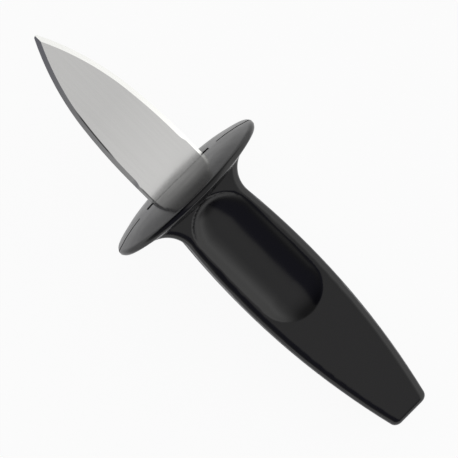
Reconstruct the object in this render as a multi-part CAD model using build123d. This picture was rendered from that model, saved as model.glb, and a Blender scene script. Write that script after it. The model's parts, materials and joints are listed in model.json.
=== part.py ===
from build123d import *
import os
from math import asin, atan2, degrees, hypot, radians, tan

# All lengths are in millimetres and all angles in degrees.
# The knife is shaped level, about its long axis: X runs to the tip, Y across, Z up through the blade's flat.
# The middle of the guard's front is at zero. At the end it is set down as it lies on a table.

# Blade, the part that shows
blade_length = 61.2
blade_width = 21.2
blade_thickness = 2.5
edge_thickness = 0.3
bevel_width = 1.4
ricasso_bevel_width = 0.9
ricasso_length = 6.0
run_in_length = 3.0
tip_radius = 0.8
belly_station_share = 0.5
belly_width_share = 0.88

# Tang, the part that the handle hides
shoulder_depth = 6.0
tang_width = 13.0
tang_length = 74.0
tang_corner_radius = 1.5
tang_hole_diameter = 6.0
tang_hole_station_shares = (0.36, 0.8)

# Guard
guard_diameter = 55.6
guard_rim_thickness = 2.2
# Where the narrow flats that round the rim meet, as shares of the way over it
guard_rim_flat_shares = (0.0, 0.2, 0.4, 0.6, 0.8, 1.0)
guard_dome_drop = 2.7
guard_back_angle = 15.5
guard_hub_diameter = 36.0
guard_hub_angle = 9.0
# The mouth of the slot that the blade comes out of
slot_width = 25.8
slot_depth = 2.5
slot_clearance = 0.1

# Grip, with the neck that flares into the guard
handle_length = 99.5
handle_width = 27.0
handle_thickness = 20.4
handle_taper_angle = 1.1
widest_station_share = 0.417
neck_station = 16.5
neck_width_share = 0.909
flare_width = 35.0
flare_sink = 2.0
butt_width = 13.2
broad_edge_radius = 3.0
butt_edge_radius = 2.3

# Thumb scoops, one on each broad side
scoop_start = 8.4
scoop_length_share = 0.478
scoop_width = 20.6
scoop_depth = 5.0
scoop_edge_chamfer = 0.3

# How far a cutting shape runs past what it cuts
overrun = 1.0
# The most that a rounded corner takes of the wall it stands on
corner_limit_share = 0.45

half_blade = blade_width / 2
half_tang = tang_width / 2
half_blade_thickness = blade_thickness / 2
guard_radius = guard_diameter / 2
guard_rim_radius = guard_rim_thickness / 2
guard_hub_radius = guard_hub_diameter / 2
rim_front = -guard_dome_drop
rim_back = rim_front - guard_rim_thickness
bevel_slope = (half_blade_thickness - edge_thickness / 2) / bevel_width


def blade_edge():
    """The blade's edge on the +Y side, from the end of the ricasso to the point."""
    start = (ricasso_length + run_in_length, half_blade)
    belly = (blade_length * belly_station_share, half_blade * belly_width_share)
    rear = TangentArc(start, belly, tangent=(1, 0))
    front = TangentArc(belly, (blade_length, 0), tangent=rear % 1)
    return rear, front


def blank_outline():
    """The flat outline of the whole blank, blade and tang."""
    rear, front = blade_edge()
    shoulder = Polyline(
        (-tang_length, 0),
        (-tang_length, half_tang),
        (-shoulder_depth, half_tang),
        (-shoulder_depth, half_blade),
        rear @ 0,
    )
    side = Curve() + [shoulder, rear, front]
    outline = make_face(side + mirror(side, Plane.XZ))
    tang_corners = outline.vertices().filter_by(lambda v: v.X < 0 and abs(v.Y) > half_tang / 2)
    wall = half_blade - half_tang
    outline = fillet(tang_corners, min(tang_corner_radius, wall * corner_limit_share))
    outline = fillet(outline.vertices().sort_by(Axis.X)[-1], tip_radius)
    for share in tang_hole_station_shares:
        outline -= Pos(-tang_length * share) * Circle(tang_hole_diameter / 2)
    return outline


def bevel_cutter():
    """What grinding takes off above one edge: a facet that widens from the ricasso into the blade."""
    rear, front = blade_edge()
    outset = bevel_width - ricasso_bevel_width
    first = (-overrun, half_blade + outset)
    second = (ricasso_length, half_blade + outset)
    middle = (ricasso_length + run_in_length / 2, half_blade + outset / 2)
    level = Line(first, second)
    turn_in = TangentArc(second, middle, tangent=(1, 0))
    turn_back = TangentArc(middle, rear @ 0, tangent=turn_in % 1)
    past_point = Line(front @ 1, front @ 1 + (front % 1) * bevel_width * 2)
    path = Wire(Curve() + [level, turn_in, turn_back, rear, front, past_point])
    top = half_blade_thickness + overrun
    inner = -(top - edge_thickness / 2) / bevel_slope
    low = edge_thickness / 2 - overrun * bevel_slope
    facet = Polygon((inner, top), (overrun, low), (overrun, top), align=None)
    start = Plane(origin=first, x_dir=(0, 1, 0), z_dir=(1, 0, 0))
    return sweep(start * facet, path)


def blade():
    """The steel blank, bevelled along both edges of both sides."""
    steel = extrude(blank_outline(), half_blade_thickness, both=True)
    cutter = bevel_cutter()
    for one_side in (cutter, mirror(cutter, Plane.XZ)):
        steel -= one_side
        steel -= mirror(one_side, Plane.XY)
    return steel


def guard_back(radius):
    """How far along the knife the guard's back lies, at a distance from the middle of the guard."""
    outer = guard_radius - guard_rim_radius - max(radius, guard_hub_radius)
    inner = max(guard_hub_radius - radius, 0)
    return rim_back - outer * tan(radians(guard_back_angle)) - inner * tan(radians(guard_hub_angle))


def guard():
    """The round guard: a shallow dome in front, a rounded rim, and a back that is steeper outside its hub."""
    rim_height = guard_radius - guard_rim_radius
    dome = TangentArc((0, 0), (rim_front, rim_height), tangent=(0, 1))
    over_rim = ThreePointArc(dome @ 1, (rim_front - guard_rim_radius, guard_radius), (rim_back, rim_height))
    rim = Polyline([over_rim @ share for share in guard_rim_flat_shares])
    hub = (guard_back(guard_hub_radius), guard_hub_radius)
    back = Polyline(rim @ 1, hub, (guard_back(0), 0), (0, 0))
    return revolve(make_face(Curve() + [dome, rim, back]), Axis.X)


def grip_outline():
    """The flat outline of neck and grip, from inside the guard to just past the butt."""
    widest = (-handle_length * widest_station_share, handle_width / 2)
    rear = TangentArc(widest, (-handle_length, butt_width / 2), tangent=(-1, 0))
    neck = (-neck_station, handle_width * neck_width_share / 2)
    front = TangentArc(widest, neck, tangent=(1, 0))
    flare_end = (guard_back(flare_width / 2), flare_width / 2)
    flare = TangentArc(front @ 1, flare_end, tangent=front % 1)
    past_butt = rear @ 1 + (rear % 1) * overrun
    end = Polyline(rear @ 1, past_butt, (past_butt.X, 0))
    sunk = flare @ 1 + (flare % 1) * flare_sink
    root = Polyline(flare @ 1, sunk, (rim_front, sunk.Y), (rim_front, 0))
    side = Curve() + [end, rear, front, flare, root]
    return make_face(side + mirror(side, Plane.XZ))


def scoop_cutter():
    """A round-ended bar that leaves the thumb scoop in a broad side at height zero."""
    half_width = scoop_width / 2
    scoop_length = handle_length * scoop_length_share
    radius = (half_width**2 + scoop_depth**2) / (2 * scoop_depth)
    height = radius - scoop_depth
    front = -scoop_start - half_width
    rear = -scoop_start - scoop_length + half_width
    middle = Plane(origin=((front + rear) / 2, 0, height), z_dir=(1, 0, 0))
    bar = middle * Cylinder(radius, front - rear)
    for station in (front, rear):
        bar += Pos(station, 0, height) * Rot(90, 0, 0) * Sphere(radius)
    return bar


def half_grip():
    """The upper half of the grip, shaped with its broad side level and then leant to the taper."""
    half_thickness = handle_thickness / 2
    block = extrude(grip_outline(), -half_thickness - overrun)
    broad_side = block.faces().sort_by(Axis.Z)[-1]
    block = fillet(broad_side.edges().filter_by(GeomType.CIRCLE), broad_edge_radius)
    cutter = scoop_cutter()
    scooped = block - cutter
    scooped = chamfer(new_edges(block, cutter, combined=scooped), scoop_edge_chamfer)
    leant = Pos(0, 0, half_thickness) * Rot(0, -handle_taper_angle, 0) * scooped
    return split(leant, Plane.XY, keep=Keep.TOP)


def handle():
    """The moulding: guard, flared neck and grip in one, made around the tang."""
    upper = half_grip()
    grip = upper + mirror(upper, Plane.XY)
    grip = split(grip, Plane(origin=(-handle_length, 0, 0), z_dir=(1, 0, 0)), keep=Keep.TOP)
    butt = grip.faces().sort_by(Axis.X)[0]
    grip = fillet(butt.edges(), butt_edge_radius)
    body = grip + guard()
    slot_mouth = Box(slot_depth * 2, slot_width, blade_thickness + slot_clearance * 2)
    return body - extrude(blank_outline(), half_blade_thickness, both=True) - slot_mouth


def resting_place(*pieces):
    """Where the level knife goes when it is set down: on the guard's rim and the butt's lower edge."""
    butt_height = handle_thickness / 2 - handle_length * tan(radians(handle_taper_angle)) - butt_edge_radius
    rim_height = guard_radius - guard_rim_radius
    rim_station = guard_dome_drop + guard_rim_radius
    run = handle_length - butt_edge_radius - rim_station
    rise = rim_height - butt_height
    lift = asin((guard_rim_radius - butt_edge_radius) / hypot(run, rise)) + atan2(rise, run)
    turned = Compound([Rot(0, -degrees(lift), 0) * piece for piece in pieces]).bounding_box()
    low = Vector(turned.center().X, 0, turned.min.Z)
    return Pos(-low) * Rot(0, -degrees(lift), 0)


if __name__ == "__main__":
    os.makedirs("parts", exist_ok=True)
    pieces = {"blade": blade(), "handle": handle()}
    place = resting_place(*pieces.values())
    for node, piece in pieces.items():
        export_step(place * piece, f"parts/{node}.step")
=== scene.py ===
import json
from math import copysign, cos, hypot, pi, radians, sin, tan

import bpy
from mathutils import Matrix, Vector


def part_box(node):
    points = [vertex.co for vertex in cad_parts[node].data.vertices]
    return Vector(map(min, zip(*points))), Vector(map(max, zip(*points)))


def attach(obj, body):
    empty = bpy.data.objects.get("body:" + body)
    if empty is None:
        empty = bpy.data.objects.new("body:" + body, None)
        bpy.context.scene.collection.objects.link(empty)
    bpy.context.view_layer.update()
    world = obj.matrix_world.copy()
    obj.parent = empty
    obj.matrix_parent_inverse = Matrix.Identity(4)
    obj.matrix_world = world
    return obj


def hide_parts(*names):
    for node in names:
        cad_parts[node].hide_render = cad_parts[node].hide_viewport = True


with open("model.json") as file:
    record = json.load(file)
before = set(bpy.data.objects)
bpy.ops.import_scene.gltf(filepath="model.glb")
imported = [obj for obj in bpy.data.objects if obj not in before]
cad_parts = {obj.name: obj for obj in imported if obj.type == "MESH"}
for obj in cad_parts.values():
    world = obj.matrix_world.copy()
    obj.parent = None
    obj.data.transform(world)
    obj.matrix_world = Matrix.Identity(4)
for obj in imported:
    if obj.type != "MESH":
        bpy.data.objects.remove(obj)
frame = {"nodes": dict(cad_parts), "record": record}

bl_info = {
    "name": "Oyster knife",
    "version": (1, 0, 0),
    "blender": (4, 5, 0),
    "location": "View3D > Sidebar > Oyster knife",
    "description": "Finishes an oyster knife in satin steel and black moulded plastic, "
    "and sets it in a pale studio",
    "category": "Object",
}


# The knife's own directions: along to the tip, across, and up through the blade's flat

mounts = {mount["name"]: mount for mount in frame["record"]["mounts"]}
BUTT = Vector(mounts["butt_end"]["pos_m"])
ALONG = -Vector(mounts["butt_end"]["axis"])
ABOVE = Vector(mounts["blade_flat"]["axis"])
ACROSS = ABOVE.cross(ALONG)
HANDLE_LENGTH = 0.0995
GUARD_FRONT = BUTT + ALONG * HANDLE_LENGTH


def to_knife(point):
    """A point of the scene in the knife's own directions, from the middle of the guard's front."""
    offset = point - GUARD_FRONT
    return Vector((offset.dot(ALONG), offset.dot(ACROSS), offset.dot(ABOVE)))


# Settings


class KnifeSizes(bpy.types.PropertyGroup):
    scoop_share: bpy.props.FloatProperty(
        name="Scoop depth",
        description="How much of the solid's depth the thumb scoops keep",
        default=0.82, min=0.5, max=1.0, subtype="FACTOR",
    )
    dome_fullness: bpy.props.FloatProperty(
        name="Dome fullness",
        description="How late the guard's dome falls away towards its rim: 2 is a plain round dome",
        default=3.4, min=2.0, max=5.0,
    )
    parting_line_height: bpy.props.FloatProperty(
        name="Parting line height",
        description="How far the fine ridge at the mould's joint stands off the plastic",
        default=0.00011, min=0.0, unit="LENGTH",
    )
    edge_softness: bpy.props.FloatProperty(
        name="Edge softness",
        description="How far the grip's edges look rounded over",
        default=0.0007, min=0.0, unit="LENGTH",
    )
    rim_softness: bpy.props.FloatProperty(
        name="Rim softness",
        description="How far the flats round the guard's rim run into each other",
        default=0.001, min=0.0, unit="LENGTH",
    )
    grind_scale: bpy.props.FloatProperty(
        name="Grind spacing",
        description="Distance between the grinding marks on the steel",
        default=0.00035, min=0.00005, unit="LENGTH",
    )
    grain_size: bpy.props.FloatProperty(
        name="Plastic grain",
        description="Size of the faint unevenness in the moulded plastic",
        default=0.0012, min=0.0001, unit="LENGTH",
    )


class KnifeColours(bpy.types.PropertyGroup):
    steel: bpy.props.FloatVectorProperty(
        name="Steel", description="Colour of the blade's metal",
        default=(0.98, 0.98, 0.965), size=3, min=0.0, max=1.0, subtype="COLOR",
    )
    plastic: bpy.props.FloatVectorProperty(
        name="Plastic", description="Colour of the handle",
        default=(0.0030, 0.0029, 0.0038), size=3, min=0.0, max=1.0, subtype="COLOR",
    )
    floor: bpy.props.FloatVectorProperty(
        name="Floor", description="Colour of the table",
        default=(0.98, 0.98, 0.98), size=3, min=0.0, max=1.0, subtype="COLOR",
    )


# Objects


def select_only(thing):
    """Deselects everything else and makes the given object the active one."""
    bpy.ops.object.select_all(action="DESELECT")
    thing.select_set(True)
    bpy.context.view_layer.objects.active = thing


def give_material(piece, material):
    """Puts a material into all of a piece's slots."""
    if not piece.data.materials:
        piece.data.materials.append(material)
    for place in range(len(piece.data.materials)):
        piece.data.materials[place] = material


# Shader nodes

WHITE = (1.0, 1.0, 1.0, 1.0)
BLACK = (0.0, 0.0, 0.0, 1.0)
# The colour sockets of a Mix node, which share their names with its other sockets
MIX_FIRST = 6
MIX_SECOND = 7
MIX_RESULT = 2


def emptied(tree):
    """A node tree with its first nodes taken out."""
    for node in list(tree.nodes):
        tree.nodes.remove(node)
    return tree


def new_material(name):
    """An empty node material, with its tree."""
    material = bpy.data.materials.new(name)
    material.use_nodes = True
    return material, emptied(material.node_tree)


def add(tree, kind, **settings):
    """Adds a node and sets its options."""
    node = tree.nodes.new(kind)
    for key, value in settings.items():
        setattr(node, key, value)
    return node


def put(node, **values):
    """Sets socket values by their names, with underscores for spaces."""
    for key, value in values.items():
        node.inputs[key.replace("_", " ")].default_value = value
    return node


def maths(tree, operation, *values):
    """What a maths node makes of some sockets and plain numbers."""
    node = add(tree, "ShaderNodeMath", operation=operation)
    for socket, value in zip(node.inputs, values):
        if isinstance(value, bpy.types.NodeSocket):
            tree.links.new(value, socket)
        else:
            socket.default_value = value
    return node.outputs["Value"]


def product(tree, first, *others):
    """Some sockets multiplied together."""
    for other in others:
        first = maths(tree, "MULTIPLY", first, other)
    return first


def stretched(tree, value, before, after):
    """A value moved from one range to another, and held at its ends."""
    node = put(add(tree, "ShaderNodeMapRange"), From_Min=before[0], From_Max=before[1])
    put(node, To_Min=after[0], To_Max=after[1])
    tree.links.new(value, node.inputs["Value"])
    return node.outputs["Result"]


def knife_place(tree, scale=(1.0, 1.0, 1.0)):
    """Object coordinates turned to the knife's own directions, and scaled."""
    coordinates = add(tree, "ShaderNodeTexCoord")
    to_level = Matrix((ALONG, ACROSS, ABOVE))
    level = add(tree, "ShaderNodeMapping", vector_type="POINT")
    put(level, Location=-(to_level @ GUARD_FRONT), Rotation=to_level.to_euler("XYZ"))
    spread = put(add(tree, "ShaderNodeMapping", vector_type="POINT"), Scale=scale)
    tree.links.new(coordinates.outputs["Object"], level.inputs["Vector"])
    tree.links.new(level.outputs["Vector"], spread.inputs["Vector"])
    return spread.outputs["Vector"]


def noise(tree, scale, detail, roughness):
    """Soft random values over the knife, with so many to the metre in each of its directions."""
    node = put(add(tree, "ShaderNodeTexNoise"), Scale=1.0, Detail=detail, Roughness=roughness)
    tree.links.new(knife_place(tree, scale), node.inputs["Vector"])
    return node.outputs["Fac"]


def bumped(tree, height, strength, distance, normal=None):
    """A surface's direction made uneven, from its own or from one that is given."""
    node = put(add(tree, "ShaderNodeBump"), Strength=strength, Distance=distance)
    tree.links.new(height, node.inputs["Height"])
    if normal is not None:
        tree.links.new(normal, node.inputs["Normal"])
    return node.outputs["Normal"]


# Steel

GRINDING_ALONG = 18.0
GRINDING_DETAIL = 3.0
GRINDING_ROUGHNESS = 0.6
GRINDING_STRENGTH = 0.05
GRINDING_DEPTH = 0.00002
CLOUDS = (45.0, 70.0, 70.0)
CLOUD_DETAIL = 2.0
CLOUD_ROUGHNESS = 0.5
# The range that grinding and clouds take together, and the steel's roughness over it
STEEL_NOISE = (0.6, 1.4)
STEEL_ROUGHNESS = (0.12, 0.18)
# Painted shade: the steel's colour darkens from the guard towards the tip, for the light that its
# reflection loses along the blade
PAINTED_SHADE_PLACE = (0.0, 0.03)
PAINTED_SHADE_LIGHT = (1.0, 0.86)
# The range of the grinding that shows as streaks, and the light that they leave
STREAK_NOISE = (0.3, 0.7)
STREAK_LIGHT = (0.965, 1.0)

# Painted shade: dark lines along one edge, where a bevel meets the flat, for the dark reflection at
# that corner: how far in from the edge, where along the blade they start and end, and how much of
# the colour they leave
PAINTED_SHADE_LINES = (
    (0.0014, 0.017, 0.037, 0.12),
    (0.0009, -0.001, 0.0065, 0.35),
)
# Half a line's width, at its dark middle and with its soft sides
LINE_HALF_WIDTH = (0.0001, 0.00028)
# How far from a line's middle it starts to fade and ends, as shares of its length
LINE_FADE_SHARES = (0.3, 0.5)
# The round that the blade's edge follows from the end of its straight part
EDGE_RADIUS = 0.18403
EDGE_CENTRE = (0.009, -0.17343, 0.0)


def satin_steel(sizes, colours):
    """Ground stainless steel: fine marks along the blade, a soft cloudiness in its shine, and
    painted shade in its colour towards the tip and along the bevels' inner edges.
    """
    material, tree = new_material("satin steel")
    link = tree.links.new
    output = add(tree, "ShaderNodeOutputMaterial")
    steel = (*colours.steel, 1.0)
    metal = put(add(tree, "ShaderNodeBsdfPrincipled"), Metallic=1.0, Base_Color=steel)
    link(metal.outputs["BSDF"], output.inputs["Surface"])

    # One light and one dark mark to each step of the noise
    marks_across = 0.5 / sizes.grind_scale
    marks_scale = (GRINDING_ALONG, marks_across, marks_across)
    marks = noise(tree, marks_scale, GRINDING_DETAIL, GRINDING_ROUGHNESS)
    cloud = noise(tree, CLOUDS, CLOUD_DETAIL, CLOUD_ROUGHNESS)
    shine = stretched(tree, maths(tree, "ADD", marks, cloud), STEEL_NOISE, STEEL_ROUGHNESS)
    link(shine, metal.inputs["Roughness"])
    link(bumped(tree, marks, GRINDING_STRENGTH, GRINDING_DEPTH), metal.inputs["Normal"])

    place = add(tree, "ShaderNodeSeparateXYZ")
    link(knife_place(tree), place.inputs["Vector"])
    along, across = place.outputs["X"], place.outputs["Y"]
    # Painted shade along the blade, darker towards the tip
    fade = stretched(tree, along, PAINTED_SHADE_PLACE, PAINTED_SHADE_LIGHT)
    streaks = stretched(tree, marks, STREAK_NOISE, STREAK_LIGHT)
    tone = add(tree, "ShaderNodeMix", data_type="RGBA", blend_type="MIX")
    tone.inputs[MIX_FIRST].default_value = BLACK
    tone.inputs[MIX_SECOND].default_value = steel
    # The steel's colour: its grinding streaks, with painted shade towards the tip and along the
    # bevels' inner edges
    streaks_and_painted_shade = product(tree, fade, streaks, painted_shade_lines(tree, along, across))
    link(streaks_and_painted_shade, tone.inputs["Factor"])
    link(tone.outputs[MIX_RESULT], metal.inputs["Base Color"])
    return material


def painted_shade_lines(tree, along, across):
    """Full colour everywhere but on the painted shade lines, dark along the inner edge of the
    bevel.
    """
    link = tree.links.new
    flat = add(tree, "ShaderNodeCombineXYZ")
    link(maths(tree, "MAXIMUM", along, EDGE_CENTRE[0]), flat.inputs["X"])
    link(across, flat.inputs["Y"])
    reach = add(tree, "ShaderNodeVectorMath", operation="DISTANCE")
    link(flat.outputs["Vector"], reach.inputs[0])
    reach.inputs[1].default_value = EDGE_CENTRE
    lines = []
    for depth, start, end, light in PAINTED_SHADE_LINES:
        off_line = maths(tree, "SUBTRACT", reach.outputs["Value"], EDGE_RADIUS - depth)
        near = stretched(tree, maths(tree, "ABSOLUTE", off_line), LINE_HALF_WIDTH, (1.0, 0.0))
        off_middle = maths(tree, "SUBTRACT", along, (start + end) / 2)
        ends = [(end - start) * share for share in LINE_FADE_SHARES]
        within = stretched(tree, maths(tree, "ABSOLUTE", off_middle), ends, (1.0, 0.0))
        lines.append(stretched(tree, product(tree, near, within), (0.0, 1.0), (1.0, light)))
    return product(tree, *lines)


# Plastic

PLASTIC_IOR = 1.5
GRAIN_DETAIL = 2.0
GRAIN_ROUGHNESS = 0.5
GRAIN_STRENGTH = 0.1
GRAIN_DEPTH = 0.00002
WAVES = (60.0, 110.0, 110.0)
WAVE_DETAIL = 1.0
WAVE_ROUGHNESS = 0.4
WAVE_STRENGTH = 1.0
WAVE_DEPTH = 0.0002
# The range that the waves take, and the plastic's roughness over it
WAVE_NOISE = (0.3, 0.7)
PLASTIC_ROUGHNESS = (0.15, 0.2)
# How far off the knife's axis the softness of its edges goes over to that of the guard's rim
RIM_ZONE = (0.02, 0.025)
SOFT_EDGE_SAMPLES = 8


def black_plastic(sizes, colours):
    """Moulded black plastic, glossy, with the faint unevenness of its mould."""
    material, tree = new_material("black plastic")
    link = tree.links.new
    output = add(tree, "ShaderNodeOutputMaterial")
    plastic = put(add(tree, "ShaderNodeBsdfPrincipled"), IOR=PLASTIC_IOR)
    put(plastic, Base_Color=(*colours.plastic, 1.0))
    link(plastic.outputs["BSDF"], output.inputs["Surface"])

    grain = noise(tree, (1.0 / sizes.grain_size,) * 3, GRAIN_DETAIL, GRAIN_ROUGHNESS)
    waves = noise(tree, WAVES, WAVE_DETAIL, WAVE_ROUGHNESS)
    shine = stretched(tree, waves, WAVE_NOISE, PLASTIC_ROUGHNESS)
    link(shine, plastic.inputs["Roughness"])

    off_axis = add(tree, "ShaderNodeVectorMath", operation="LENGTH")
    link(knife_place(tree, (0.0, 1.0, 1.0)), off_axis.inputs[0])
    softness = (sizes.edge_softness, sizes.rim_softness)
    soft_edges = add(tree, "ShaderNodeBevel", samples=SOFT_EDGE_SAMPLES)
    radius = stretched(tree, off_axis.outputs["Value"], RIM_ZONE, softness)
    link(radius, soft_edges.inputs["Radius"])
    sway = bumped(tree, waves, WAVE_STRENGTH, WAVE_DEPTH, soft_edges.outputs["Normal"])
    skin = bumped(tree, grain, GRAIN_STRENGTH, GRAIN_DEPTH, sway)
    link(skin, plastic.inputs["Normal"])
    return material


# Table and light

TABLE_SIZE = 12.0
# How much of the table is plain white to the camera; the rest takes the knife's shadow
TABLE_SEEN = 0.94
# How white the table is in reflections, by the distance from the middle of the knife
TABLE_NEAR = (0.09, 0.16)
TABLE_MIRRORED = (0.4, 1.0)

# The tent of light over the table: degrees down from straight up, below zero on the side of -Y
# and above it on the side of +Y, and the light from there
TENT_ACROSS = (
    (-90.0, (1.15, 1.15, 1.13)),
    (-74.0, (1.12, 1.12, 1.10)),
    (-63.0, (1.38, 1.38, 1.36)),
    (-52.0, (1.08, 1.08, 1.07)),
    (-42.0, (0.76, 0.76, 0.75)),
    (-27.0, (0.57, 0.57, 0.57)),
    (3.0, (0.62, 0.615, 0.615)),
    (17.0, (0.58, 0.575, 0.575)),
    (23.0, (0.145, 0.145, 0.20)),
    (60.0, (0.145, 0.145, 0.19)),
    (72.0, (0.16, 0.16, 0.17)),
    (80.0, (0.30, 0.30, 0.30)),
    (90.0, (0.60, 0.60, 0.60)),
)
# How much of it comes from the side of -X (below zero) and from the side of +X
TENT_ALONG = (
    (-90.0, 0.25),
    (-74.0, 0.40),
    (-60.0, 0.92),
    (-30.0, 1.00),
    (4.0, 1.00),
    (22.0, 0.80),
    (44.0, 0.33),
    (90.0, 0.33),
)
# No light in the tent is stronger than this
TENT_STRENGTH = 1.5


def pale_table(colours):
    """A white table that keeps a faint shadow and shows as white in whatever reflects it."""
    material, tree = new_material("pale table")
    link = tree.links.new
    output = add(tree, "ShaderNodeOutputMaterial")
    matt = put(add(tree, "ShaderNodeBsdfDiffuse"), Color=(*colours.floor, 1.0))
    glow = put(add(tree, "ShaderNodeEmission"), Color=WHITE, Strength=1.0)
    path = add(tree, "ShaderNodeLightPath").outputs
    distance = add(tree, "ShaderNodeVectorMath", operation="LENGTH")
    link(add(tree, "ShaderNodeTexCoord").outputs["Object"], distance.inputs[0])
    mirrored = maths(tree, "MAXIMUM", path["Is Glossy Ray"], path["Is Transmission Ray"])
    whiteness = stretched(tree, distance.outputs["Value"], TABLE_NEAR, TABLE_MIRRORED)
    softened = product(tree, mirrored, whiteness)
    share = add(tree, "ShaderNodeMixShader")
    seen = maths(tree, "MULTIPLY_ADD", path["Is Camera Ray"], TABLE_SEEN, softened)
    link(seen, share.inputs[0])
    link(matt.outputs["BSDF"], share.inputs[1])
    link(glow.outputs["Emission"], share.inputs[2])
    link(share.outputs["Shader"], output.inputs["Surface"])
    return material


def sky_ramp(tree, angle, stops):
    """Colours over an angle from straight up, which are given at some degrees."""
    ramp = add(tree, "ShaderNodeValToRGB")
    tree.links.new(stretched(tree, angle, (-pi / 2, pi / 2), (0.0, 1.0)), ramp.inputs["Fac"])
    marks = ramp.color_ramp.elements
    while len(marks) < len(stops):
        marks.new(0.5)
    for mark, (degrees, colour) in zip(marks, stops):
        mark.position = (degrees + 90.0) / 180.0
        mark.color = (*colour, 1.0)
    return ramp.outputs["Color"]


def studio_light():
    """White to the camera; to the knife, a soft tent of light that is brightest low on one side."""
    world = bpy.data.worlds.new("studio")
    world.use_nodes = True
    tree = emptied(world.node_tree)
    link = tree.links.new
    output = add(tree, "ShaderNodeOutputWorld")
    path = add(tree, "ShaderNodeLightPath")
    parts = add(tree, "ShaderNodeSeparateXYZ")
    link(add(tree, "ShaderNodeTexCoord").outputs["Generated"], parts.inputs["Vector"])
    across = [(degrees, [part / TENT_STRENGTH for part in light]) for degrees, light in TENT_ACROSS]
    along = [(degrees, (share,) * 3) for degrees, share in TENT_ALONG]
    to_side = maths(tree, "ARCTAN2", parts.outputs["Y"], parts.outputs["Z"])
    to_end = maths(tree, "ARCSINE", parts.outputs["X"])
    light = add(tree, "ShaderNodeMix", data_type="RGBA", blend_type="MULTIPLY")
    light.inputs["Factor"].default_value = 1.0
    link(sky_ramp(tree, to_side, across), light.inputs[MIX_FIRST])
    link(sky_ramp(tree, to_end, along), light.inputs[MIX_SECOND])
    tent = put(add(tree, "ShaderNodeBackground"), Strength=TENT_STRENGTH)
    link(light.outputs[MIX_RESULT], tent.inputs["Color"])
    white = put(add(tree, "ShaderNodeBackground"), Color=WHITE, Strength=1.0)
    share = add(tree, "ShaderNodeMixShader")
    link(path.outputs["Is Camera Ray"], share.inputs[0])
    link(tent.outputs["Background"], share.inputs[1])
    link(white.outputs["Background"], share.inputs[2])
    link(share.outputs["Shader"], output.inputs["Surface"])
    return world


# Blade


class KNIFE_OT_blade(bpy.types.Operator):
    """Gives the blade its satin ground finish, with painted shade in its colour"""

    bl_idname = "knife.blade"
    bl_label = "Blade"

    def execute(self, context):
        scene = context.scene
        give_material(frame["nodes"]["blade"], satin_steel(scene.knife_sizes, scene.knife_colours))
        return {"FINISHED"}


# Handle: where the shapes of its solid lie, from the middle of the guard's front

DOME_RADIUS = 0.0267
DOME_DROP = 0.0027
# How near the solid's dome a point lies to be one of it, as a share of the dome's drop
DOME_SKIN_SHARE = 0.05
SCOOP_RADIUS = 0.0103
# How far round its middle line the scoop is eased, as a share of its radius
SCOOP_REACH_SHARE = 1.01
# The middle line of the scoop
SCOOP_FRONT = -0.0187
SCOOP_REAR = -0.04566
# Nothing nearer the blade's plane than this is a part of a scoop
SCOOP_LOWEST = 0.003
# Nothing further forward than this is a part of a scoop
SCOOP_FOREMOST = -0.0084
BROAD_SIDE = 0.0102
BROAD_SIDE_LEAN = tan(radians(1.1))

# Points nearer than this are one
MERGE_DISTANCE = 0.000002
SMOOTH_ANGLE = radians(40.0)
FLAT_FACE_WEIGHT = 90


def merged_copy(solid, name):
    """A copy of a solid's mesh that is one closed skin, with none of the solid's settings."""
    select_only(solid)
    bpy.ops.object.duplicate()
    piece = bpy.context.object
    piece.name = name
    piece.data.name = name
    piece.parent = None
    for key in list(piece.keys()):
        del piece[key]
    bpy.ops.mesh.customdata_custom_splitnormals_clear()
    bpy.ops.object.mode_set(mode="EDIT")
    bpy.ops.mesh.select_all(action="SELECT")
    bpy.ops.mesh.remove_doubles(threshold=MERGE_DISTANCE)
    bpy.ops.object.mode_set(mode="OBJECT")
    return piece


class KNIFE_OT_handle(bpy.types.Operator):
    """Moulds handle and guard from their solid, with gentler scoops and a fuller dome"""

    bl_idname = "knife.handle"
    bl_label = "Handle and guard"

    def execute(self, context):
        sizes = context.scene.knife_sizes
        moulding = merged_copy(frame["nodes"]["handle"], "handle_moulding")
        for point in moulding.data.vertices:
            x, y, z = to_knife(point.co)
            point.co += ALONG * self.dome_rise(x, hypot(y, z), sizes.dome_fullness)
            rise = self.scoop_depth(x, y, abs(z)) * (1.0 - sizes.scoop_share)
            point.co += ABOVE * copysign(rise, z)
        select_only(moulding)
        bpy.ops.object.shade_smooth_by_angle(angle=SMOOTH_ANGLE)
        bpy.ops.object.modifier_add(type="WEIGHTED_NORMAL")
        weighted = moulding.modifiers[-1]
        weighted.keep_sharp = True
        weighted.weight = FLAT_FACE_WEIGHT
        bpy.ops.object.modifier_apply(modifier=weighted.name)
        give_material(moulding, black_plastic(sizes, context.scene.knife_colours))
        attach(moulding, "root")
        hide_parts("handle")
        return {"FINISHED"}

    def dome_rise(self, x, radius, fullness):
        """How far a point of the dome comes forward, for the dome to fall away nearer its rim."""
        if radius > DOME_RADIUS:
            return 0.0
        round_drop = DOME_DROP * (radius / DOME_RADIUS) ** 2
        if abs(x + round_drop) > DOME_DROP * DOME_SKIN_SHARE:
            return 0.0
        return round_drop - DOME_DROP * (radius / DOME_RADIUS) ** fullness

    def scoop_depth(self, x, y, height):
        """How deep a point of a thumb scoop lies below the broad side that it is cut into."""
        if x > SCOOP_FOREMOST or height < SCOOP_LOWEST:
            return 0.0
        middle = min(max(x, SCOOP_REAR), SCOOP_FRONT)
        if hypot(x - middle, y) > SCOOP_RADIUS * SCOOP_REACH_SHARE:
            return 0.0
        return max(BROAD_SIDE + x * BROAD_SIDE_LEAN - height, 0.0)


# Parting line

RIDGE_MERGE_DISTANCE = 0.000001
RIDGE_SMOOTH_ANGLE = radians(60.0)
CUT_THRESHOLD = 0.0000001
# The blade's slot and the tang's pocket: how far back they go, and half their width
SLOT_END = -0.0065
SLOT_HALF_WIDTH = 0.01295
POCKET_END = -0.0745
POCKET_HALF_WIDTH = 0.0066


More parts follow.
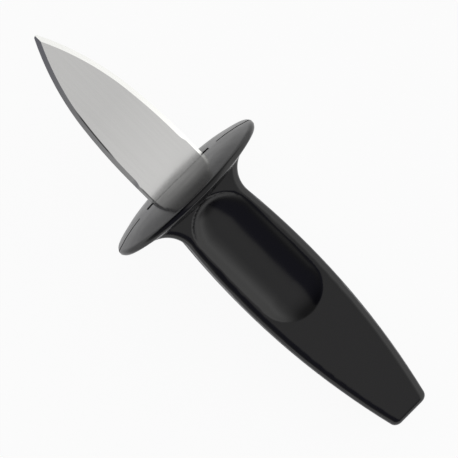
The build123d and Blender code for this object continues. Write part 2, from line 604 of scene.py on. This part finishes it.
class KNIFE_OT_parting_line(bpy.types.Operator):
    """Lays the fine ridge round the handle where the halves of its mould met"""

    bl_idname = "knife.parting_line"
    bl_label = "Parting line"

    def execute(self, context):
        scene = context.scene
        moulding = bpy.data.objects["handle_moulding"]
        ridge = self.section(moulding)
        self.leave_out_slot(ridge)
        select_only(ridge)
        bpy.ops.object.convert(target="CURVE")
        ridge = context.object
        ridge.data.bevel_depth = scene.knife_sizes.parting_line_height
        ridge.data.bevel_resolution = 1
        ridge.data.use_fill_caps = True
        bpy.ops.object.convert(target="MESH")
        ridge = context.object
        self.keep_inside(ridge)
        bpy.ops.object.mode_set(mode="EDIT")
        bpy.ops.mesh.select_all(action="SELECT")
        bpy.ops.mesh.remove_doubles(threshold=RIDGE_MERGE_DISTANCE)
        bpy.ops.mesh.normals_make_consistent(inside=False)
        bpy.ops.object.mode_set(mode="OBJECT")
        bpy.ops.object.shade_smooth_by_angle(angle=RIDGE_SMOOTH_ANGLE)
        give_material(ridge, moulding.data.materials[0])
        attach(ridge, "root")
        return {"FINISHED"}

    def section(self, moulding):
        """The outline of the handle in the plane of the blade."""
        ridge = merged_copy(moulding, "parting_line")
        bpy.ops.object.mode_set(mode="EDIT")
        bpy.ops.mesh.select_all(action="SELECT")
        bpy.ops.mesh.bisect(
            plane_co=GUARD_FRONT,
            plane_no=ABOVE,
            clear_inner=True,
            clear_outer=True,
            threshold=CUT_THRESHOLD,
        )
        bpy.ops.object.mode_set(mode="OBJECT")
        return ridge

    def leave_out_slot(self, ridge):
        """Takes the walls of the blade's slot and the tang's pocket out of the outline."""
        bpy.ops.object.mode_set(mode="EDIT")
        bpy.ops.mesh.select_all(action="DESELECT")
        bpy.ops.object.mode_set(mode="OBJECT")
        bpy.context.tool_settings.mesh_select_mode = (True, False, False)
        for point in ridge.data.vertices:
            x, y, _ = to_knife(point.co)
            in_slot = x > SLOT_END and abs(y) < SLOT_HALF_WIDTH
            in_pocket = x > POCKET_END and abs(y) < POCKET_HALF_WIDTH
            point.select = in_slot or in_pocket
        bpy.ops.object.mode_set(mode="EDIT")
        bpy.ops.mesh.delete(type="VERT")
        bpy.ops.object.mode_set(mode="OBJECT")

    def keep_inside(self, ridge):
        """Presses the ridge flat where it would stand out past the handle's furthest points."""
        low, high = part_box("handle")
        for point in ridge.data.vertices:
            for axis in range(3):
                point.co[axis] = min(max(point.co[axis], low[axis]), high[axis])


# Stage: a camera far above the knife, leaning to the tip and rolled to one side

CAMERA_LEAN = radians(10.4)
CAMERA_ROLL = radians(1.5)
# How far the knife is turned in the picture, with the blade to the upper left
CAMERA_HEADING = radians(45.0)
CAMERA_DISTANCE = 1.5
# Where the camera points: back from the guard's front, and up in the picture
AIM_BACK = 0.0221
AIM_UP = 0.0003
# The lens gives this focal length in pixels of a picture of this width
FOCAL_PIXELS = 5033.0
PICTURE_PIXELS = 458.0
SENSOR_WIDTH = 36.0
CLIP_END = 100.0


class KNIFE_OT_stage(bpy.types.Operator):
    """Sets the knife on a pale table under soft studio light, with a camera far above it"""

    bl_idname = "knife.stage"
    bl_label = "Table, light and camera"

    def execute(self, context):
        scene = context.scene
        scene.view_settings.view_transform = "Standard"

        bpy.ops.object.select_all(action="DESELECT")
        bpy.ops.mesh.primitive_plane_add(size=TABLE_SIZE, location=(0.0, 0.0, 0.0))
        table = context.object
        table.name = "table"
        table.data.materials.append(pale_table(scene.knife_colours))

        scene.world = studio_light()
        self.camera()
        return {"FINISHED"}

    def camera(self):
        """The camera, with its picture's right and up worked out from the knife's directions."""
        side = ACROSS * sin(CAMERA_ROLL) + ABOVE * cos(CAMERA_ROLL)
        view = ALONG * sin(CAMERA_LEAN) + side * cos(CAMERA_LEAN)
        length = (ALONG - view * view.dot(ALONG)).normalized()
        width = view.cross(length)
        right = -length * cos(CAMERA_HEADING) - width * sin(CAMERA_HEADING)
        up = view.cross(right)
        target = GUARD_FRONT - ALONG * AIM_BACK + up * AIM_UP
        place = target + view * CAMERA_DISTANCE
        bpy.ops.object.camera_add(location=place)
        camera = bpy.context.object
        camera.name = "camera"
        turn = Matrix((right, up, view)).transposed()
        camera.matrix_world = Matrix.Translation(place) @ turn.to_4x4()
        camera.data.sensor_width = SENSOR_WIDTH
        camera.data.lens = SENSOR_WIDTH * FOCAL_PIXELS / PICTURE_PIXELS
        camera.data.clip_end = CLIP_END
        bpy.context.scene.camera = camera


class KNIFE_PT_panel(bpy.types.Panel):
    """The knife's settings and steps"""

    bl_idname = "KNIFE_PT_panel"
    bl_label = "Oyster knife"
    bl_space_type = "VIEW_3D"
    bl_region_type = "UI"
    bl_category = "Oyster knife"

    def draw(self, context):
        layout = self.layout
        for group in (context.scene.knife_sizes, context.scene.knife_colours):
            box = layout.box()
            for name in group.__annotations__:
                box.prop(group, name)
        for step in STEPS:
            layout.operator(step.bl_idname)


STEPS = (KNIFE_OT_blade, KNIFE_OT_handle, KNIFE_OT_parting_line, KNIFE_OT_stage)
CLASSES = (KnifeSizes, KnifeColours, *STEPS, KNIFE_PT_panel)


def register():
    for kind in CLASSES:
        bpy.utils.register_class(kind)
    bpy.types.Scene.knife_sizes = bpy.props.PointerProperty(type=KnifeSizes)
    bpy.types.Scene.knife_colours = bpy.props.PointerProperty(type=KnifeColours)


def unregister():
    del bpy.types.Scene.knife_colours
    del bpy.types.Scene.knife_sizes
    for kind in reversed(CLASSES):
        bpy.utils.unregister_class(kind)


def main():
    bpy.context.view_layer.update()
    register()
    bpy.ops.knife.blade()
    bpy.ops.knife.handle()
    bpy.ops.knife.parting_line()
    bpy.ops.knife.stage()


if __name__ == "__main__":
    main()
